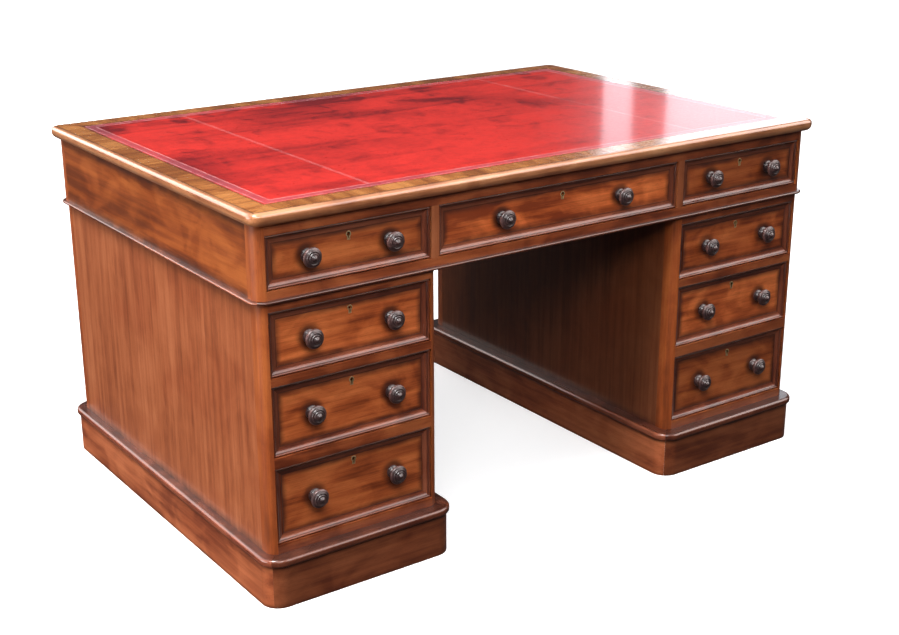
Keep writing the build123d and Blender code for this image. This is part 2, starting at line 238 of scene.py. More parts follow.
@dataclass(frozen=True)
class Mahogany:
    """French-polished mahogany.

    The colours are those of the dark streaks, the ground and the light bands.  The figure, the
    cloud and the edge darkening are strengths, with how far that darkening goes in from an edge;
    it is partly grime and partly painted shade, such as the shade under the top on the frieze ends.
    """

    name: str
    dark: Triple
    ground: Triple
    light: Triple
    grain: Grain = Grain.BOARD
    figure: float = 1.0
    # Strength, reach and colour of the edge darkening: grime, and painted shade along some edges.
    dirt_and_shade: float = 0.75
    dirt_and_shade_reach: float = 0.014
    dirt_and_shade_colour: Triple = (0.022, 0.006, 0.004)
    gloss: float = 0.30
    coat: float = 0.12
    cloud: float = 0.3

    def _edge(self, graph: Graph) -> Socket:
        """1 at the edges of a board, falling to 0 inside: where grime and painted shade darken it."""
        half = graph.parts(graph.attribute("half", "Vector"))
        place = graph.parts(graph.attribute("place", "Vector"))
        x, y, z = (reach - abs(at) for reach, at in zip(half, place))
        return x.least(y).least(z).ramp(self.dirt_and_shade_reach, 0.0)

    @staticmethod
    def _knob_shadow_and_grime(graph: Graph) -> Socket:
        """1 round a drawer's two knobs: a painted shadow of the knobs, with grime where hands and dusters
        never quite reach.
        """
        x, y, out = graph.parts(graph.attribute("place", "Vector"))
        spot = graph.node("ShaderNodeCombineXYZ", {}, {0: abs(x) - graph.attribute("knobs", "Fac"), 1: y})
        away = graph.node("ShaderNodeVectorMath", {"operation": "LENGTH"}, {0: spot}, "Value")
        return away.ramp(0.031, 0.015) * (out > 0.0)

    def material(self) -> Material:
        """Makes the material."""
        graph = Graph(self.name)
        along = graph.along(self.grain)
        broad = graph.noise(along, (1.8, 16.0, 16.0), 3.0, 0.8).ramp(0.32, 0.68)
        flame = graph.noise(along, (9.0, 14.0, 14.0), 4.0, 1.2).ramp(0.34, 0.66)
        streak = graph.noise(along, (3.0, 80.0, 80.0), 4.0, 0.2).ramp(0.30, 0.70)
        fibre = graph.noise(along, (22.0, 750.0, 750.0), 2.0)
        pore = graph.noise(along, (95.0, 1900.0, 1900.0), 1.0).ramp(0.63, 0.70)
        figure = (broad - 0.5) * (0.34 * self.figure) + (flame - 0.5) * (0.24 * self.figure)
        blend = figure + (streak - 0.5) * 0.2 + (fibre - 0.5) * 0.3 + 0.5
        wood = graph.node("ShaderNodeValToRGB", {"stops": [
            (0.28, self.dark), (0.50, self.ground), (0.74, self.light)]}, {0: blend})
        wood = graph.mix(pore * 0.4, wood, rgb(self.dark, 0.35))
        cloud = graph.noise(graph.object_place(), 6.0, 3.0, 0.5).ramp(0.45, 0.72)
        wood = graph.mix(cloud * self.cloud, wood, rgb((0.74, 0.52, 0.44)), "MULTIPLY")
        finish = 1.0 - streak * 0.5
        if self.grain is Grain.BOARD:
            wood = graph.mix(1.0, wood, graph.attribute("tone", "Fac"), "MULTIPLY")
            # Darkening: grime, with painted shade along some edges, a painted shadow round the knobs and a
            # painted shadow of the gap round each drawer moulding.
            patchiness = graph.noise(graph.object_place(), 22.0, 4.0).ramp(0.2, 0.75)
            dirt_and_shade = self._edge(graph) * (patchiness * 0.6 + 0.4) * self.dirt_and_shade
            dirt_and_shade = dirt_and_shade.most(graph.attribute("dirt_and_shade", "Fac") * (patchiness * 0.3 + 0.7))
            dirt_and_shade = dirt_and_shade.most(self._knob_shadow_and_grime(graph) * (patchiness * 0.35 + 0.6))
            wood = graph.mix(dirt_and_shade, wood, rgb(self.dirt_and_shade_colour))
            finish = finish + dirt_and_shade * 0.3
        height = (fibre - pore * 0.8) * 0.5 + streak * 0.4
        return graph.surface(Base_Color=wood, Roughness=finish * 0.16 + (self.gloss - 0.08),
                      Coat_Weight=self.coat, Coat_Roughness=0.13, Coat_IOR=1.5,
                      Specular_IOR_Level=0.35, Normal=graph.bump(height, 0.00012, 0.6))


@dataclass(frozen=True)
class PlainWood:
    """Unpolished wood of the insides, with its grain along one axis of the desk."""

    name: str
    dark: Triple
    light: Triple
    grain: Grain
    roughness: float = 0.62

    def material(self) -> Material:
        """Makes the material."""
        graph = Graph(self.name)
        along = graph.along(self.grain)
        ring = graph.noise(along, (0.9, 17.0, 17.0), 2.0, 0.5)
        line = graph.noise(along, (2.5, 190.0, 190.0), 3.0)
        fleck = graph.noise(along, (60.0, 900.0, 900.0), 1.0).ramp(0.60, 0.72)
        wood = graph.mix((ring * 0.7 + line * 0.5 - 0.1).ramp(0.25, 0.8), rgb(self.dark), rgb(self.light))
        wood = graph.mix(fleck * 0.5, wood, rgb(self.dark, 0.5))
        age = graph.noise(graph.object_place(), 5.0, 3.0).ramp(0.35, 0.75)
        wood = graph.mix(age * 0.25, wood, rgb(self.dark, 0.4))
        return graph.surface(Base_Color=wood, Roughness=line * 0.15 + self.roughness,
                      Normal=graph.bump(line - fleck * 0.6, 0.00025, 0.8))


@dataclass(frozen=True)
class TooledLeather:
    """Waxed red hide, darkened with age, with bands of gilt tooling.

    Bands are placed inwards from the edge of the hide.  The two cross bands lie at panel_x on
    either side of panel_middle.
    """

    name: str
    half_x: float
    half_y: float
    panel_x: float
    red: Triple = (0.58, 0.027, 0.020)
    deep: Triple = (0.10, 0.003, 0.007)
    gilt: Triple = (0.74, 0.42, 0.42)
    panel_middle: float = -9 * MM

    def _line(self, distance: Socket, at: float, width: float) -> Socket:
        """A fine line where the distance has one value."""
        return abs(distance - at).ramp(width * 0.9, width * 0.35)

    def _band(self, distance: Socket, along: Socket, low: float, high: float) -> Socket:
        """A tooled band between two fillets, with a running scroll in it."""
        middle = (low + high) / 2
        reach = (high - low) / 2 - 2.2 * MM
        turn = along * (2 * math.pi / (11 * MM))
        vine = self._line(distance - turn.wave() * (0.55 * reach), middle, 1.5 * MM)
        bud = (turn * 2.0).wave() > 0.2
        dots = self._line(abs(distance - middle), 0.55 * reach, 1.2 * MM) * bud
        edges = self._line(abs(distance - middle), (high - low) / 2, 1.6 * MM)
        return (vine * 0.3).most(dots * 0.25).most(edges)

    def material(self) -> Material:
        """Makes the material."""
        graph = Graph(self.name)
        place = graph.object_place()
        x, y, _ = graph.parts(place)
        wear = y.ramp(-self.half_y, self.half_y) * 0.75 + 0.55
        to_end = self.half_x - abs(x)
        to_side = self.half_y - abs(y)
        inwards = to_end.least(to_side)
        by_end = to_side > to_end
        along = y * by_end + x * (1.0 - by_end)
        border = self._band(inwards, along, 5 * MM, 22 * MM)
        to_cross = abs(abs(x - self.panel_middle) - self.panel_x)
        cross = self._line(to_cross, 2.2 * MM, 1.3 * MM) * (inwards > 22 * MM)
        tooling = border.most(cross * 0.5)
        worn = graph.noise(place, 45.0, 3.0).ramp(0.34, 0.64)
        gilt = tooling * (worn * 0.45 + 0.4)

        cloud = graph.noise(place, (2.6, 4.0, 4.0), 5.0, 0.8).ramp(0.44, 0.66)
        blot = graph.noise(place, (13.0, 9.0, 8.0), 5.0, 1.2).ramp(0.50, 0.72)
        pull = graph.noise(place, (1.6, 19.0, 8.0), 4.0, 0.8).ramp(0.48, 0.70)
        fine = graph.noise(place, (60.0, 75.0, 60.0), 4.0, 0.5).ramp(0.42, 0.70)
        near = inwards.ramp(110 * MM, 24 * MM)
        dark = ((cloud * 0.38 + blot * 0.42 + pull * 0.32 + near * cloud * 0.4) * wear
                + fine * 0.2).least(0.9)
        hide = graph.mix(dark, rgb(self.red), rgb(self.deep))
        band = self._line(inwards, 13.5 * MM, 14 * MM)
        hide = graph.mix(band * 0.45, hide, rgb((0.26, 0.05, 0.075)))
        hide = graph.mix(gilt, hide, rgb(self.gilt))
        pebble = graph.node("ShaderNodeTexVoronoi", {"feature": "DISTANCE_TO_EDGE"},
                            {"Vector": place, "Scale": 620.0})
        wrinkle = graph.noise(place, 130.0, 4.0)
        height = pebble.ramp(0.0, 0.22) * 0.5 + wrinkle * 0.5 - tooling * 1.2
        return graph.surface(Base_Color=hide, Roughness=wrinkle * 0.14 + 0.23,
                      Coat_Weight=0.5, Coat_Roughness=0.09, Specular_IOR_Level=0.12,
                      Normal=graph.bump(height, 0.00010, 0.55))


@dataclass(frozen=True)
class TurnedWood:
    """Dark polished turning, worn a little lighter on its rim."""

    name: str
    dark: Triple = (0.028, 0.012, 0.012)
    worn: Triple = (0.140, 0.062, 0.054)

    def material(self) -> Material:
        """Makes the material."""
        graph = Graph(self.name)
        place = graph.object_place()
        cloud = graph.noise(place, 60.0, 4.0, 0.5)
        fine = graph.noise(place, (160.0, 900.0, 900.0), 2.0)
        wear = graph.attribute("wear", "Fac") * cloud.ramp(0.3, 0.6)
        wood = graph.mix((cloud.ramp(0.45, 0.7) * 0.35 + wear).least(1.0), rgb(self.dark), rgb(self.worn))
        return graph.surface(Base_Color=wood, Roughness=fine * 0.12 + 0.36, Coat_Weight=0.55,
                      Coat_Roughness=0.30, Normal=graph.bump(fine, 0.00006, 0.4))


@dataclass(frozen=True)
class AgedMetal:
    """Metal with tarnish in its hollows."""

    name: str
    bright: Triple
    tarnish: Triple
    roughness: float = 0.34

    def material(self) -> Material:
        """Makes the material."""
        graph = Graph(self.name)
        place = graph.object_place()
        cloud = graph.noise(place, 210.0, 4.0, 0.4).ramp(0.42, 0.68)
        scratch = graph.noise(place, (300.0, 2400.0, 300.0), 2.0)
        colour = graph.mix(cloud * 0.75, rgb(self.bright), rgb(self.tarnish))
        return graph.surface(Base_Color=colour, Metallic=0.95 - cloud * 0.25, Roughness=cloud * 0.22
                             + self.roughness, Normal=graph.bump(scratch, 0.00004, 0.5))


@dataclass(frozen=True)
class FloorPaint:
    """Even pale studio floor."""

    name: str
    colour: Triple = (0.86, 0.86, 0.865)
    glow: float = 0.62

    def material(self) -> Material:
        """Makes the material."""
        graph = Graph(self.name)
        speckle = graph.noise(graph.object_place(), 40.0, 2.0)
        colour = graph.mix(speckle * 0.02, rgb(self.colour), rgb((0.80, 0.80, 0.81)))
        return graph.surface(Base_Color=colour, Roughness=0.85, Specular_IOR_Level=0.1,
                      Emission_Color=rgb(self.colour), Emission_Strength=self.glow)


SIDE_WOOD = Mahogany("case_mahogany", (0.175, 0.040, 0.013), (0.305, 0.084, 0.030),
                     (0.41, 0.132, 0.054), figure=0.36, dirt_and_shade=0.7, dirt_and_shade_reach=0.018, cloud=0.4)
# The frieze ends darken strongly along their top and bottom edges: partly grime and mostly painted shade
# under the top's overhang.
FRIEZE_WOOD = Mahogany("frieze_mahogany", (0.120, 0.024, 0.005), (0.235, 0.052, 0.011),
                       (0.36, 0.095, 0.022), figure=0.8, dirt_and_shade=0.9, dirt_and_shade_reach=0.024)
POST_WOOD = Mahogany("post_mahogany", (0.140, 0.028, 0.006), (0.290, 0.062, 0.014), (0.42, 0.110, 0.027),
                     figure=0.6, dirt_and_shade=0.4, dirt_and_shade_reach=0.005, gloss=0.38, coat=0.04)
RAIL_WOOD = Mahogany("rail_mahogany", (0.110, 0.020, 0.006), (0.235, 0.050, 0.015),
                     (0.36, 0.095, 0.030), dirt_and_shade=0.4, dirt_and_shade_reach=0.005)
PLINTH_WOOD = Mahogany("plinth_mahogany", (0.170, 0.038, 0.015), (0.320, 0.085, 0.032),
                       (0.44, 0.130, 0.052), figure=0.8, dirt_and_shade=0.8, dirt_and_shade_reach=0.010)
FIELD_WOOD = Mahogany("drawer_field_mahogany", (0.175, 0.030, 0.007), (0.44, 0.096, 0.024),
                      (0.66, 0.175, 0.048), figure=0.9, dirt_and_shade=0.85, dirt_and_shade_reach=0.013)
MOULDING_WOOD = Mahogany("moulding_mahogany", (0.090, 0.020, 0.011), (0.200, 0.050, 0.024),
                         (0.31, 0.092, 0.046), figure=0.6, dirt_and_shade=0.9, dirt_and_shade_reach=0.002,
                         gloss=0.22, coat=0.45)
# The nosing's lighter colour is partly its own and partly a painted highlight along the top's edge.
EDGE_WOOD = Mahogany("nosing_mahogany", (0.24, 0.075, 0.027), (0.42, 0.160, 0.065), (0.56, 0.26, 0.12),
                     figure=0.7, dirt_and_shade=0.5, dirt_and_shade_reach=0.003, gloss=0.26, coat=1.0)
CROSSBAND_WOOD = Mahogany("crossband_veneer", (0.22, 0.062, 0.012), (0.37, 0.122, 0.027),
                          (0.54, 0.210, 0.056), figure=0.95, dirt_and_shade=1.0, dirt_and_shade_reach=0.005,
                          gloss=0.22, coat=0.9)


# ---- boards ----


def to_data(mesh: BMesh, name: str) -> bpy.types.Mesh:
    """Mesh data made of a bmesh, which is used up."""
    data = bpy.data.meshes.new(name)
    mesh.to_mesh(data)
    mesh.free()
    return data


def in_scene(name: str, data: bpy.types.ID) -> bpy.types.Object:
    """A new object in the scene."""
    made = bpy.data.objects.new(name, data)
    bpy.context.scene.collection.objects.link(made)
    return made


def drawn(outline: list[Triple], along: Triple) -> BMesh:
    """A solid made by drawing a flat outline along a vector."""
    mesh = bmesh.new()
    face = mesh.faces.new([mesh.verts.new(point) for point in outline])
    grown = bmesh.ops.extrude_face_region(mesh, geom=[face])
    far = [v for v in grown["geom"] if isinstance(v, bmesh.types.BMVert)]
    bmesh.ops.translate(mesh, verts=far, vec=along)
    bmesh.ops.recalc_face_normals(mesh, faces=mesh.faces)
    return mesh


def block(size: Triple, corner: float = 0.0, steps: int = 12) -> BMesh:
    """A block centred on the origin.

    Args:
        size: its three sizes.
        corner: radius of its four upright edges.
        steps: faces round each of them.

    Returns:
        A new bmesh.
    """
    mesh = bmesh.new()
    bmesh.ops.create_cube(mesh, size=1.0, matrix=Matrix.Diagonal((*size, 1.0)))
    if corner:
        upright = [e for e in mesh.edges if abs(e.verts[0].co.z - e.verts[1].co.z) > size[2] / 2]
        round_over(mesh, upright, corner, steps)
    return mesh


def round_over(mesh: BMesh, edges: list[BMEdge], radius: float, steps: int) -> None:
    """Rounds edges to a radius in a number of steps."""
    bmesh.ops.bevel(mesh, geom=edges, offset=radius, offset_type="OFFSET", segments=steps,
                    profile=0.5, affect="EDGES", material=-1)


def rim(mesh: BMesh, height: float) -> list[BMEdge]:
    """The edges round a flat face at a height."""
    return [e for e in mesh.edges if all(abs(v.co.z - height) < TINY for v in e.verts)
            and any(abs(f.normal.z) < 0.5 for f in e.link_faces)]


def ease(mesh: BMesh, radius: float = 0.4 * MM) -> None:
    """Takes the sharpness off every crisp edge."""
    mesh.normal_update()
    crisp = [e for e in mesh.edges if e.is_manifold and e.calc_face_angle(0.0) > CRISP_ANGLE]
    round_over(mesh, crisp, radius, 2)


def saw(mesh: BMesh, point: tuple, outward: tuple) -> None:
    """Cuts a solid with a plane, drops the outward part and closes the cut."""
    got = bmesh.ops.bisect_plane(mesh, geom=[*mesh.verts, *mesh.edges, *mesh.faces], plane_co=point,
                                 plane_no=outward, clear_outer=True, dist=1e-7)
    cut = [e for e in got["geom_cut"] if isinstance(e, BMEdge)]
    bmesh.ops.edgeloop_fill(mesh, edges=cut)


def carve(mesh: BMesh, cutter: BMesh) -> BMesh:
    """Takes one solid out of another.

    Args:
        mesh: the solid that is cut, which is used up.
        cutter: the solid that is taken out, which is used up.

    Returns:
        A new bmesh of what is left.
    """
    pair = [in_scene("carving", to_data(one, "carving")) for one in (mesh, cutter)]
    modifier = pair[0].modifiers.new("carve", "BOOLEAN")
    modifier.operation = "DIFFERENCE"
    modifier.solver = "EXACT"
    modifier.object = pair[1]
    graph = bpy.context.evaluated_depsgraph_get()
    left = bmesh.new()
    left.from_object(pair[0], graph)
    for made in pair:
        bpy.data.meshes.remove(made.data)
    return left


def arc(middle: Pair, radius: float, start: float, end: float, steps: int) -> list[Pair]:
    """Points on an arc between two angles in degrees, both ends included."""
    angles = [math.radians(start + (end - start) * i / steps) for i in range(steps + 1)]
    return [(middle[0] + radius * math.cos(a), middle[1] + radius * math.sin(a)) for a in angles]


class Bench:
    """Gathers finished boards into one piece, each with its own grain and tone.

    A board is made with its length along X and its show side up, then put in place.
    """

    LAYERS = (("grain", True), ("place", True), ("half", True), ("tone", False),
              ("dirt_and_shade", False), ("wear", False), ("knobs", False))

    def __init__(self, name: str, seed: int = 1) -> None:
        """Starts an empty piece.

        Args:
            name: the piece's name.
            seed: start of its random draws.
        """
        self.name = name
        self.mesh = bmesh.new()
        self.random = random.Random(seed)
        for layer, is_vector in self.LAYERS:
            self._layer(self.mesh, layer, is_vector)

    @staticmethod
    def _layer(mesh: BMesh, name: str, is_vector: bool) -> object:
        """A vertex layer of a bmesh, made if it isn't there."""
        layers = mesh.verts.layers.float_vector if is_vector else mesh.verts.layers.float
        return layers.get(name) or layers.new(name)

    def add(self, board: BMesh, place: Matrix, cross: bool = False, finish: int = 0,
            tone: Pair = (0.88, 1.12), dirt_and_shade: Shade = None, wear: Shade = None,
            half: Triple = (FAR, FAR, FAR), knobs: float = FAR) -> None:
        """Puts a finished board in place.

        Args:
            board: the board, which is used up.
            place: where it goes.
            cross: whether its grain runs across it.
            finish: which of the piece's materials it takes.
            tone: least and most brightness of the board: random tone of the wood, and on some boards
                painted light and shade.
            dirt_and_shade: gives a point's darkening, from 0 to 1: grime, and a painted shadow of a
                drawer's gap.
            wear: gives a point's wear, from 0 to 1.
            half: half the sizes that its edge darkening, grime and painted shade, is measured from, FAR for
                none.
            knobs: how far knobs are from the middle of a drawer front.
        """
        middle = Vector([(min(v.co[i] for v in board.verts)
                          + max(v.co[i] for v in board.verts)) / 2 for i in range(3)])
        layers = {name: self._layer(board, name, vec) for name, vec in self.LAYERS}
        shift = Vector([self.random.uniform(-9, 9) for _ in range(3)])
        shade = self.random.uniform(*tone)
        for vert in board.verts:
            spot = vert.co.copy()
            vert[layers["wear"]] = wear(spot) if wear else 0.0
            vert[layers["dirt_and_shade"]] = dirt_and_shade(spot) if dirt_and_shade else 0.0
            vert[layers["grain"]] = shift + (Vector((spot.y, spot.x, spot.z)) if cross else spot)
            vert[layers["place"]] = spot - middle
            vert[layers["half"]] = half
            vert[layers["tone"]] = shade
            vert[layers["knobs"]] = knobs
        for face in board.faces:
            face.material_index = finish
        bmesh.ops.transform(board, matrix=place, verts=board.verts)
        if place.to_3x3().determinant() < 0:
            bmesh.ops.reverse_faces(board, faces=board.faces)
        data = to_data(board, "board")
        self.mesh.from_mesh(data)
        bpy.data.meshes.remove(data)

    def finish(self, materials: list[Material], node: str, body: str = "root",
               slot: str = "polished_mahogany", smooth: float = 40.0) -> bpy.types.Object:
        """Makes the piece's object.

        Args:
            materials: its materials, in the order of the boards' finishes.
            node: the CAD node that it stands for.
            body: the CAD body that it moves with.
            slot: not used.
            smooth: edges sharper than this many degrees stay sharp.

        Returns:
            The new object.
        """
        data = to_data(self.mesh, self.name)
        data.polygons.foreach_set("use_smooth", [True] * len(data.polygons))
        data.set_sharp_from_angle(angle=math.radians(smooth))
        for material in materials:
            data.materials.append(material)
        piece = in_scene(self.name, data)
        piece.modifiers.new("even_shading", "WEIGHTED_NORMAL").keep_sharp = True
        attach(piece, body)
        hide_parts(node)
        log.info("%s: %d faces", self.name, len(data.polygons))
        return piece


@dataclass
class MitredFrame:
    """Four mitred lengths round a rectangle, with rounded corners.

    The place is the middle of its underside.
    """

    middle: Vector
    size_x: float
    size_y: float
    corner: float
    width: float
    height: float
    nose_upper: float = 0.0
    nose_lower: float = 0.0
    steps: int = 7
    joint: float = 0.12 * MM

    def lengths(self) -> list[tuple[BMesh, Matrix]]:
        """The four lengths, each with the matrix that puts it in place."""
        made = []
        for quarter in range(4):
            run, reach = ((self.size_x, self.size_y) if quarter % 2 == 0 else (self.size_y, self.size_x))
            board = block((run, reach, self.height), self.corner)
            for nose, side in ((self.nose_upper, 0.5), (self.nose_lower, -0.5)):
                if nose:
                    board.normal_update()
                    round_over(board, rim(board, side * self.height), nose, self.steps)
            saw(board, (0, self.width - reach / 2, 0), (0, 1, 0))
            for sign in (-1, 1):
                corner = (sign * (run / 2 - self.joint), -reach / 2, 0)
                saw(board, corner, (sign, 1, 0))
            place = (Matrix.Translation(self.middle + Vector((0, 0, self.height / 2)))
                     @ Matrix.Rotation(math.radians(90 * quarter), 4, "Z"))
            made.append((board, place))
        return made


# ---- sub-assemblies ----


@dataclass
class Top:
    """The top: edge moulding, crossbanding and the tooled hide."""

    nosing_width: float = 12 * MM
    nose_upper: float = 8.5 * MM
    nose_lower: float = 13 * MM
    corner: float = 24 * MM
    panel_x: float = 411 * MM
    leaf: float = 0.235
    hide_gap: float = 0.4 * MM
    hide_roll: float = 0.9 * MM

    def build(self) -> None:
        """Makes the top's pieces."""
        low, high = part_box("top_border")
        size = high - low
        under = Vector((0, 0, low.z))
        hide_low, hide_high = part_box("writing_leather")
        border = (size.x - (hide_high.x - hide_low.x)) / 2
        edge = Bench("top_edge_moulding", 3)
        for board, place in MitredFrame(under, size.x, size.y, self.corner, self.nosing_width, size.z,
                                        self.nose_upper, self.nose_lower, 9).lengths():
            edge.add(board, place, tone=(0.94, 1.06))
        edge.finish([EDGE_WOOD.material()], "top_border")
        band = Bench("top_crossbanding", 4)
        inner = MitredFrame(under, size.x - 2 * self.nosing_width,
                            size.y - 2 * self.nosing_width, self.corner - self.nosing_width,
                            border - self.nosing_width, size.z, 0.5 * MM, 0.0, 2)
        for board, place in inner.lengths():
            for leaf in self._leaves(board):
                band.add(leaf, place, cross=True, tone=(0.93, 1.07),
                         half=(FAR, (border - self.nosing_width) / 2, FAR))
        band.finish([CROSSBAND_WOOD.material()], "top_border")
        self._hide(hide_low, hide_high)

    def _leaves(self, board: BMesh) -> list[BMesh]:
        """A crossbanded length, which is used up, cut into its leaves of veneer."""
        low = min(v.co.x for v in board.verts)
        high = max(v.co.x for v in board.verts)
        count = max(2, round((high - low) / self.leaf))
        leaves = []
        for i in range(count):
            leaf = board.copy()
            start = low + (high - low) * i / count
            end = low + (high - low) * (i + 1) / count
            if i:
                saw(leaf, (start, 0, 0), (-1, 0, 0))
            if i < count - 1:
                saw(leaf, (end, 0, 0), (1, 0, 0))
            leaves.append(leaf)
        board.free()
        return leaves

    def _hide(self, low: Vector, high: Vector) -> None:
        """The writing leather, pressed down a little along its edges."""
        size = high - low
        hide = Bench("tooled_writing_leather", 5)
        sheet = block((size.x - self.hide_gap, size.y - self.hide_gap, size.z))
        sheet.normal_update()
        round_over(sheet, rim(sheet, size.z / 2), self.hide_roll, 3)
        hide.add(sheet, Matrix.Translation((low + high) / 2))
        finish = TooledLeather("red_tooled_leather", size.x / 2, size.y / 2, self.panel_x)
        piece = hide.finish([finish.material()], "writing_leather", slot="red_leather")


@dataclass
class Cases:
    """Sides, posts and mouldings of the top section and the pedestals."""

    frieze_corner: float = 22 * MM
    frieze_post: float = 20 * MM
    pedestal_corner: float = 20 * MM
    pedestal_post: float = 16 * MM
    post_depth: float = 34 * MM
    waist_width: float = 60 * MM
    waist_nose: float = 2.9 * MM
    waist_corner: float = 30 * MM
    plinth_corner: float = 37 * MM
    plinth_board: float = 24 * MM
    cap_corner: float = 43 * MM
    cap_width: float = 55 * MM
    cap_upper: float = 7 * MM
    cap_lower: float = 6 * MM
    # Brightness of the ends and the long lengths of the waist, plinths and caps, and of the outer and
    # kneehole sides: painted light and shade, the long front and back lengths and the sides facing the
    # kneehole darkened.
    end_tone: Pair = (1.0, 1.1)
    shaded_long_tone: Pair = (0.52, 0.62)
    outer_tone: Pair = (1.0, 1.06)
    shaded_inner_tone: Pair = (0.52, 0.60)
    arris: float = 0.25 * MM

    def build(self) -> None:
        """Makes the cases' pieces."""
        post = POST_WOOD.material()
        wood = [SIDE_WOOD.material(), post]
        plinth = PLINTH_WOOD.material()
        moulding = MOULDING_WOOD.material()
        self._sides("frieze_ends", self.frieze_corner, self.frieze_post,
                    [FRIEZE_WOOD.material(), post], False, 11)
        for hand, seed in (("left", 12), ("right", 13)):
            self._sides(f"{hand}_pedestal_sides", self.pedestal_corner, self.pedestal_post,
                        wood, True, seed)
        for node, name, corner, width, upper, lower, finish, seed in (
                ("waist_moulding", "waist_astragal", self.waist_corner, self.waist_width,
                 self.waist_nose, self.waist_nose, moulding, 21),
                ("plinths", "plinth_boards", self.plinth_corner, self.plinth_board, 0.5 * MM,
                 0.0, plinth, 22),
                ("plinth_caps", "plinth_cap_mouldings", self.cap_corner, self.cap_width,
                 self.cap_upper, self.cap_lower, moulding, 23)):
            self._frames(name, node, corner, width, upper, lower, finish, seed)

    @staticmethod
    def _boxes(node: str) -> list[tuple[Vector, Vector]]:
        """Lowest and highest corners of a node's frame, or of one frame to each pedestal."""
        low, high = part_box(node)
        if node == "waist_moulding":
            return [(low, high)]
        left = [v.co.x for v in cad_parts[node].data.vertices if v.co.x < 0]
        width = max(left) - min(left)
        return [(low, Vector((low.x + width, high.y, high.z))),
                (Vector((high.x - width, low.y, low.z)), high)]

    def _frames(self, name: str, node: str, corner: float, width: float, upper: float, lower: float,
                finish: Material, seed: int) -> None:
        """One piece of mitred frames.

        Args:
            name: the piece's name.
            node: the CAD node that it stands for.
            corner: plan radius of the corners.
            width: width of the boards or mouldings.
            upper: rounding of the upper outer edge.
            lower: rounding of the lower outer edge.
            finish: its material.
            seed: start of its random draws.
        """
        bench = Bench(name, seed)
        for low, high in self._boxes(node):
            size = high - low
            under = Vector(((low.x + high.x) / 2, (low.y + high.y) / 2, low.z))
            lengths = MitredFrame(under, size.x, size.y, corner, width, size.z, upper, lower).lengths()
            for quarter, (board, place) in enumerate(lengths):
                # Painted shade: the long front and back lengths darker than the ends.
                tone = self.end_tone if quarter % 2 else self.shaded_long_tone
                bench.add(board, place, tone=tone, half=(FAR, FAR, size.z / 2))
        bench.finish([finish], node)

    def _sides(self, node: str, corner: float, post: float,
               finishes: list[Material], upright: bool, seed: int) -> None:
        """Boards and rounded corner posts of a case.

        Args:
            node: the CAD node that they stand for.
            corner: plan radius of the posts.
            post: width of the posts, seen from the front.
            finishes: the materials of the boards and of the posts.
            upright: whether the grain of the side boards runs up them.
            seed: start of the random draws.
        """
        low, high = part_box(node)
        low.y, high.y = self._face(node)
        size = high - low
        middle = (low + high) / 2
        bench = Bench(node + "_joinery", seed)
        for x_sign in (-1, 1):
            for y_sign in (-1, 1):
                solid = block(tuple(size), corner, 10)
                saw(solid, (x_sign * (size.x / 2 - post), 0, 0), (-x_sign, 0, 0))
                saw(solid, (0, y_sign * (size.y / 2 - self.post_depth), 0), (0, -y_sign, 0))
                ease(solid, self.arris)
                turn = Matrix.Rotation(math.radians(90), 4, "Y")
                bmesh.ops.transform(solid, matrix=turn.inverted(), verts=solid.verts)
                bench.add(solid, Matrix.Translation(middle) @ turn, finish=1, tone=(0.88, 1.0))
            length = size.y - 2 * self.post_depth
            board = block((size.z, length, post) if upright else (length, size.z, post))
            ease(board, self.arris)
            lie = Matrix.Rotation(math.radians(90 * x_sign), 4, "Y")
            if not upright:
                lie = lie @ Matrix.Rotation(math.radians(90), 4, "Z")
            spot = middle + Vector((x_sign * (size.x - post) / 2, 0, 0))
            # The side boards darken along their top and bottom edges: partly grime and partly painted shade
            # below the overhanging top and waist.
            reach = (size.z / 2, FAR) if upright else (FAR, size.z / 2)
            # Painted shade: the side boards facing the kneehole darker than the outer ones.
            tone = self.shaded_inner_tone if x_sign * middle.x < -MM else self.outer_tone
            bench.add(board, Matrix.Translation(spot) @ lie, tone=tone, half=(*reach, FAR))
        bench.finish(finishes, node)

    @staticmethod
    def _face(node: str) -> Pair:
        """Where the rails' faces are, along Y, because a narrow post stops short of them."""
        rails = "frieze_rails" if node == "frieze_ends" else "pedestal_rails"
        low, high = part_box(rails)
        return low.y, high.y


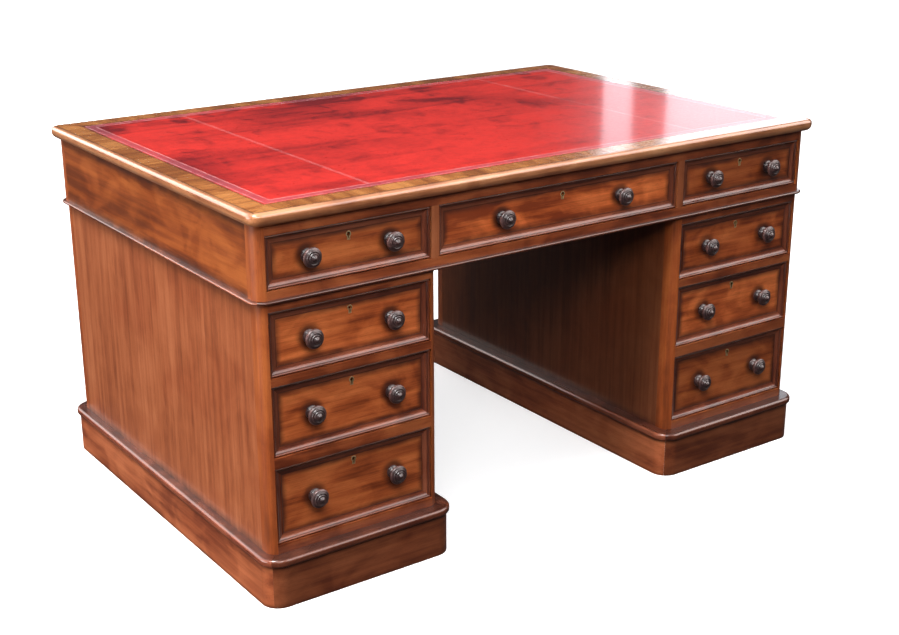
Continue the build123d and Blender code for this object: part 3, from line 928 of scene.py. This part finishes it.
@dataclass
class Knob:
    """A turned mushroom knob with a collar, rings on its face and a button."""

    radius: float = 18.9
    projection: float = 33.9
    foot: float = 13.0
    neck: float = 8.0
    steps: int = 40

    def profile(self) -> list[Pair]:
        """The outline from foot to tip: radius and height in millimetres."""
        rim_low, rim_high = 16.2, 24.9
        return [(0.0, 0.0), (self.foot, 0.0), (self.foot, 2.2), *arc((self.foot - 1.2, 2.4), 1.2, 0, 90, 4),
                (self.neck + 2.2, 4.6), (self.neck + 1.6, 5.8),
                *arc((self.neck + 6.0, 9.8), 6.0, 220, 142, 6), (self.neck + 2.4, 14.2),
                (self.radius - 4.4, rim_low), *arc((self.radius - 3.6, 20.9), 3.6, -75, 75, 9),
                (self.radius - 4.2, rim_high), (self.radius - 5.0, rim_high + 0.8),
                *arc((self.radius - 6.6, rim_high + 1.5), 1.6, 10, 115, 5),
                (self.radius - 8.5, rim_high + 2.5), (self.radius - 9.2, rim_high + 3.5),
                *arc((self.radius - 10.5, rim_high + 3.6), 1.2, 10, 120, 4), (6.4, 29.5), (5.9, 30.4),
                *arc((0.0, self.projection - 5.4), 5.4, 32, 90, 6)]

    def turning(self) -> BMesh:
        """The knob, standing on the origin with its axis along Z."""
        mesh = bmesh.new()
        verts = [mesh.verts.new((r * MM, 0.0, h * MM)) for r, h in self.profile()]
        edges = [mesh.edges.new(pair) for pair in zip(verts, verts[1:])]
        bmesh.ops.spin(mesh, geom=[*verts, *edges], axis=(0, 0, 1), cent=(0, 0, 0),
                       angle=math.tau, steps=self.steps, use_merge=True)
        bmesh.ops.remove_doubles(mesh, verts=mesh.verts, dist=TINY)
        bmesh.ops.recalc_face_normals(mesh, faces=mesh.faces)
        return mesh

    def wear(self, spot: Vector) -> float:
        """How worn the turning is at a point: the rim and the tip are handled most."""
        out = math.hypot(spot.x, spot.y) / (self.radius * MM)
        return max(0.0, min(1.0, (out - 0.8) * 4)) * 0.8 if spot.z > 16 * MM else 0.0


@dataclass
class Keyhole:
    """A brass keyhole lining, let into the drawer front."""

    radius: float = 5.5 * MM
    tail: float = 3.25 * MM
    drop: float = 11 * MM
    wall: float = 1.9 * MM
    depth: float = 3 * MM
    proud: float = 0.6 * MM
    arris: float = 0.25 * MM

    def outline(self, wall: float) -> list[Pair]:
        """The keyhole's outline, a wall's thickness inside the lining's."""
        radius = self.radius - wall
        tail = self.tail - wall
        gap = math.degrees(math.asin(tail / radius))
        return [(tail, wall - self.drop), *arc((0, 0), radius, gap - 90, 270 - gap, 20),
                (-tail, wall - self.drop)]

    def prism(self, wall: float, low: float, high: float) -> BMesh:
        """A solid with the keyhole's outline between two heights."""
        return drawn([(x, y, low) for x, y in self.outline(wall)], (0, 0, high - low))

    def lining(self) -> BMesh:
        """The brass lining, with its face at the proud height above the origin."""
        mesh = self.prism(0.0, -self.depth, self.proud)
        ease(mesh, self.arris)
        return carve(mesh, self.prism(self.wall, -2 * self.depth, self.proud + MM))


@dataclass
class DrawerFront:
    """A drawer's face: board, bead and cove moulding, two knobs, lock and keyhole lining."""

    name: str
    turn: int
    knob_spread: float
    seed: int
    # Brightness of the front's field: painted light and shade.
    light_and_shade: float
    thickness: float = 22 * MM
    moulding_width: float = 17 * MM
    moulding_height: float = 7 * MM
    bead: float = 2.2 * MM
    keyhole_drop: float = 25 * MM
    lock_width: float = 57 * MM
    lock_height: float = 37.5 * MM
    lock_depth: float = 11 * MM
    arris: float = 0.6 * MM
    joint: float = 0.05 * MM
    crisp: float = 50.0
    clearance: float = 0.5 * MM
    knob: Knob = field(default_factory=Knob)
    keyhole: Keyhole = field(default_factory=Keyhole)
    # Brightness of the moulding's bottom, right, top and left lengths: painted light below and painted
    # shade above and at the left.
    strip_light_and_shade: tuple[Pair, ...] = ((1.15, 1.3), (0.85, 1.0), (0.6, 0.7), (0.65, 0.75))

    def frame_of_face(self) -> tuple[Matrix, float, float]:
        """Place and size of the drawer's field.

        Returns:
            The matrix from right, up and out to the desk's axes, with its origin at the
            middle of the field, and the face's width and height.
        """
        low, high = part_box(f"{self.name}_face")
        back = high.y if self.turn > 0 else low.y
        middle = (low + high) / 2
        middle.y = back - self.turn * self.thickness
        axes = Matrix(((self.turn, 0, 0), (0, 0, -self.turn), (0, 1, 0))).to_4x4()
        return Matrix.Translation(middle) @ axes, high.x - low.x, high.z - low.z

    def _board(self, width: float, height: float) -> BMesh:
        """The front board with its lock pocket and keyhole."""
        board = block((width, height, self.thickness))
        ease(board, self.arris)
        bmesh.ops.translate(board, verts=board.verts, vec=(0, 0, -self.thickness / 2))
        pocket = block((self.lock_width + 2 * self.clearance, self.lock_height, self.lock_depth))
        past = 0.01 * MM
        bmesh.ops.translate(pocket, verts=pocket.verts, vec=(
            0, (height - self.lock_height) / 2 + past,
            self.lock_depth / 2 - self.thickness - past))
        board = carve(board, pocket)
        hole = self.keyhole.prism(0.0, -self.thickness, MM)
        bmesh.ops.translate(hole, verts=hole.verts, vec=(0, height / 2 - self.keyhole_drop, 0))
        return carve(board, hole)

    def _profile(self) -> list[Pair]:
        """The moulding's section: distance inwards and height above the field."""
        shoulder = self.moulding_height - self.bead
        return [(0.0, 0.0), *arc((self.bead, shoulder), self.bead, 180, 0, 10),
                *arc((14.5 * MM, 16.7 * MM), 16.1 * MM, 232, 270, 8),
                (self.moulding_width, 0.6 * MM), (self.moulding_width, 0.0)]

    def _dark_quirk_and_gap_shadow(self, spot: Vector) -> float:
        """Darker in the moulding's quirk and where it meets the field, and a painted shadow of the drawer's
        gap along its outer face.
        """
        quirk = abs(spot.y - 2.2 * self.bead) / (2.4 * MM)
        foot = (self.moulding_width - spot.y) / (1.8 * MM)
        # Painted shadow of the gap round the drawer, along the moulding's outer face.
        gap_shadow = 1.0 if spot.y < 0.45 * self.bead else 0.0
        return max(0.0, 1.0 - quirk, 1.0 - foot, gap_shadow) * 0.9

    def _strip(self, run: float) -> BMesh:
        """A mitred length of moulding along X, its outer edge on the X axis."""
        mesh = drawn([(-run / 2, y, z) for y, z in self._profile()], (run, 0, 0))
        for sign in (-1, 1):
            saw(mesh, (sign * (run / 2 - self.joint), 0, 0), (sign, 1, 0))
        return mesh

    def build(self, finishes: dict[str, Material]) -> None:
        """Makes the face's pieces.

        Args:
            finishes: the shared materials by name.
        """
        axes, width, height = self.frame_of_face()
        node, body = f"{self.name}_face", f"{self.name}_drawer"
        face = Bench(f"{self.name}_front_board", self.seed)
        # The field's brightness is painted light and shade, and its edges darken towards the moulding with
        # grime and painted shade.
        face.add(self._board(width, height), axes, tone=(self.light_and_shade,) * 2,
                 half=(width / 2 - self.moulding_width, height / 2 - self.moulding_width,
                       FAR), knobs=self.knob_spread)
        for quarter in range(4):
            run, reach = (width, height) if quarter % 2 == 0 else (height, width)
            place = (axes @ Matrix.Rotation(math.radians(90 * quarter), 4, "Z")
                     @ Matrix.Translation((0, -reach / 2, 0)))
            # Each length gets the painted light and shade of its side, and the darkening of its quirk and
            # its gap.
            face.add(self._strip(run), place, finish=1, tone=self.strip_light_and_shade[quarter], dirt_and_shade=self._dark_quirk_and_gap_shadow)
        face.finish([finishes["field"], finishes["moulding"]], node, body, smooth=self.crisp)
        knobs = Bench(f"{self.name}_knobs", self.seed)
        for sign in (-1, 1):
            spot = Matrix.Translation((sign * self.knob_spread, 0, 0))
            knobs.add(self.knob.turning(), axes @ spot, wear=self.knob.wear)
        knobs.finish([finishes["knob"]], node, body, "knob_wood", self.crisp)
        brass = Bench(f"{self.name}_lock_and_lining", self.seed)
        hole = Matrix.Translation((0, height / 2 - self.keyhole_drop, 0))
        brass.add(self.keyhole.lining(), axes @ hole)
        case = block((self.lock_width, self.lock_height - 2 * self.clearance,
                      self.lock_depth - self.clearance))
        ease(case, 0.3 * MM)
        sunk = Matrix.Translation((0, (height - self.lock_height) / 2 - self.clearance,
                                   (self.lock_depth + self.clearance) / 2 - self.thickness))
        brass.add(case, axes @ sunk, finish=1)
        metal = brass.finish([finishes["brass"], finishes["lock"]], node, body, "lock_brass")
        if self.turn > 0:
            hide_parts(f"{self.name}_lock")


class Drawers:
    """All the drawers of both long sides, with each front's brightness: painted light and shade."""

    SIDES = {"front": 1, "rear": -1}
    # Painted light and shade: each front's brightness set to copy how light falls on it.
    LIGHT_AND_SHADE = {"frieze_left": 0.85, "frieze_right": 0.8, "left_upper": 1.08,
              "left_middle": 0.95, "left_lower": 0.83, "right_upper": 1.0,
              "right_middle": 1.2, "right_lower": 0.7, "frieze_middle": 1.5}
    SPREAD = 87.5 * MM
    WIDE_SPREAD = 152 * MM

    def build(self) -> None:
        """Makes every drawer's front and dresses its lining."""
        finishes = {"field": FIELD_WOOD.material(), "moulding": MOULDING_WOOD.material(),
                    "knob": TurnedWood("dark_turned_wood").material(),
                    "brass": AgedMetal("aged_brass", (0.80, 0.60, 0.32), (0.30, 0.19, 0.09)).material(),
                    "lock": AgedMetal("lock_brass_case", (0.50, 0.34, 0.15), (0.10, 0.065, 0.035),
                                      0.42).material(),}
        lining = PlainWood("oak_lining", (0.26, 0.14, 0.055), (0.47, 0.29, 0.135), Grain.ALONG_Y).material()
        seed = 40
        for side, turn in self.SIDES.items():
            for drawer, light_and_shade in self.LIGHT_AND_SHADE.items():
                name = f"{side}_{drawer}"
                spread = self.WIDE_SPREAD if drawer == "frieze_middle" else self.SPREAD
                DrawerFront(name, turn, spread, seed, light_and_shade).build(finishes)
                dress(f"{name}_box", lining)
                seed += 1


def dress(node: str, material: Material) -> None:
    """Gives a CAD node that stays in view its material."""
    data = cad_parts[node].data
    data.materials.clear()
    data.materials.append(material)


def dress_frame() -> None:
    """Materials of the CAD nodes that stay: rails, partitions and inner boards."""
    across = replace(RAIL_WOOD, grain=Grain.ALONG_X).material()
    upright = replace(SIDE_WOOD, name="divider_mahogany", grain=Grain.ALONG_Z).material()
    pine = PlainWood("stained_pine", (0.20, 0.105, 0.045), (0.36, 0.21, 0.10), Grain.ALONG_Y).material()
    for node in ("frieze_rails", "pedestal_rails", "kneehole_soffit"):
        dress(node, across)
    dress("frieze_partitions", upright)
    for node in ("frieze_runners", "pedestal_boards", "top_panel"):
        dress(node, pine)


# ---- studio ----


@dataclass
class Studio:
    """Pale floor, soft lights and the camera; card_aim is a point of the desk's top."""

    camera_place: Triple = (-1.799, -2.587, 1.400)
    heading: float = 35.37
    pitch: float = 19.14
    roll: float = -0.1
    lens: float = 57.91
    wall_radius: float = 16.0
    card_distance: float = 9.0
    card_aim: Triple = (0.45, -0.2, 0.762)
    window_tint: Triple = (0.86, 0.92, 1.0)
    sky_tint: Triple = (1.0, 0.91, 0.88)

    def build(self) -> None:
        """Makes the floor, the lights and the camera."""
        self._floor()
        self._world()
        self._camera()
        self._light("key_softbox", (-2.4, -0.9, 4.4), (0, 0, 0.4), (1.5, 1.5), 270)
        self._light("left_softbox", (-4.6, 0.3, 0.9), (0, 0, 0.4), (2.5, 1.4), 125)
        self._light("front_softbox", (-1.2, -2.1, 2.0), (-0.1, -0.45, 0.5), (1.2, 0.8), 39)
        for name, place, power in (("rear_fill", (0.6, 4.8, 1.3), 95), ("right_fill", (4.9, 0.3, 1.3), 75)):
            self._light(name, place, (0, 0, 0.4), (2.0, 1.4), power).visible_glossy = False
        self._card("window_strip", 41.6, 10.5, 1.55, 17.5, 8, self.window_tint)
        self._card("window", 49.0, 10.5, 9.4, 17.5, 8.8, self.window_tint)
        self._card("sky_behind", -42.0, 25.0, 66.0, 40.0, 13, self.sky_tint)
        self._card("sky_ahead", 130.0, 35.0, 66.0, 42.0, 16, self.sky_tint)

    def _floor(self) -> None:
        """A wide pale floor with a round pale wall far behind it."""
        paint = FloorPaint("studio_floor").material()
        floor, wall = bmesh.new(), bmesh.new()
        bmesh.ops.create_grid(floor, x_segments=8, y_segments=8, size=2 * self.wall_radius)
        bmesh.ops.create_cone(wall, segments=96, radius1=self.wall_radius,
                              radius2=self.wall_radius, depth=2 * self.wall_radius)
        bmesh.ops.recalc_face_normals(wall, faces=wall.faces)
        bmesh.ops.reverse_faces(wall, faces=wall.faces)
        for name, mesh in (("studio_floor", floor), ("studio_wall", wall)):
            made = in_scene(name, to_data(mesh, name))
            made.data.materials.append(paint)
            made.visible_diffuse = made.visible_glossy = False
            made.visible_shadow = name == "studio_floor"

    @staticmethod
    def _world() -> None:
        """Soft light from above, fading to near darkness at the horizon."""
        world = bpy.data.worlds.new("studio")
        bpy.context.scene.world = world
        graph = Graph(world)
        _, _, up = graph.parts(graph.node("ShaderNodeTexCoord", {}, {}, "Generated"))
        glow = graph.node("ShaderNodeBackground", {}, {
            "Color": rgb((0.97, 0.98, 1.0)), "Strength": up.ramp(0.28, 0.95) * 1.05 + 0.05})
        graph.node("ShaderNodeOutputWorld", {}, {"Surface": glow})

    @staticmethod
    def _light(name: str, place: tuple, towards: tuple, size: tuple, power: float) -> bpy.types.Object:
        """A soft rectangular light, hidden from the camera.

        Args:
            name: its name.
            place: where it is.
            towards: the point that it faces.
            size: its two sizes.
            power: its power in watts.

        Returns:
            The light.
        """
        lamp = bpy.data.lights.new(name, "AREA")
        lamp.shape = "RECTANGLE"
        lamp.size, lamp.size_y = size
        lamp.energy = power
        made = in_scene(name, lamp)
        made.location = place
        aim = Vector(towards) - Vector(place)
        made.rotation_euler = aim.to_track_quat("-Z", "Y").to_euler()
        made.visible_camera = False
        return made

    def _card(self, name: str, heading: float, rise: float, spread: float, tall: float,
              power: float, tint: Triple) -> None:
        """A bright card that polished surfaces mirror, and that lights nothing else.

        Args:
            name: its name.
            heading: its direction from +Y towards +X, in degrees.
            rise: its direction above the level of the desk's top, in degrees.
            spread: how wide it looks, in degrees.
            tall: how tall it looks, in degrees.
            power: its power for each square metre, in watts.
            tint: its colour.
        """
        angle, tilt = math.radians(heading), math.radians(rise)
        width, height = (2 * self.card_distance * math.tan(math.radians(look / 2))
                         for look in (spread, tall))
        start = Vector(self.card_aim)
        away = Vector((math.sin(angle) * math.cos(tilt), math.cos(angle) * math.cos(tilt), math.sin(tilt)))
        card = self._light(name, start + away * self.card_distance, start, (width, height),
                           power * width * height)
        card.data.color = tint
        card.visible_diffuse = False

    def _camera(self) -> None:
        """The camera."""
        data = bpy.data.cameras.new("camera")
        data.lens = self.lens
        camera = in_scene("camera", data)
        heading, pitch = math.radians(self.heading), math.radians(self.pitch)
        ahead = Vector((math.sin(heading) * math.cos(pitch),
                        math.cos(heading) * math.cos(pitch), -math.sin(pitch)))
        level = ahead.to_track_quat("-Z", "Y").to_matrix().to_4x4()
        turn = Matrix.Rotation(math.radians(self.roll), 4, "Z")
        camera.matrix_world = Matrix.Translation(self.camera_place) @ level @ turn
        bpy.context.scene.camera = camera


def main() -> None:
    """Builds the desk's pieces, then the studio."""
    bpy.context.scene.view_settings.view_transform = "Standard"
    Studio().build()
    Top().build()
    Cases().build()
    Drawers().build()
    dress_frame()


if __name__ == "__main__":
    main()
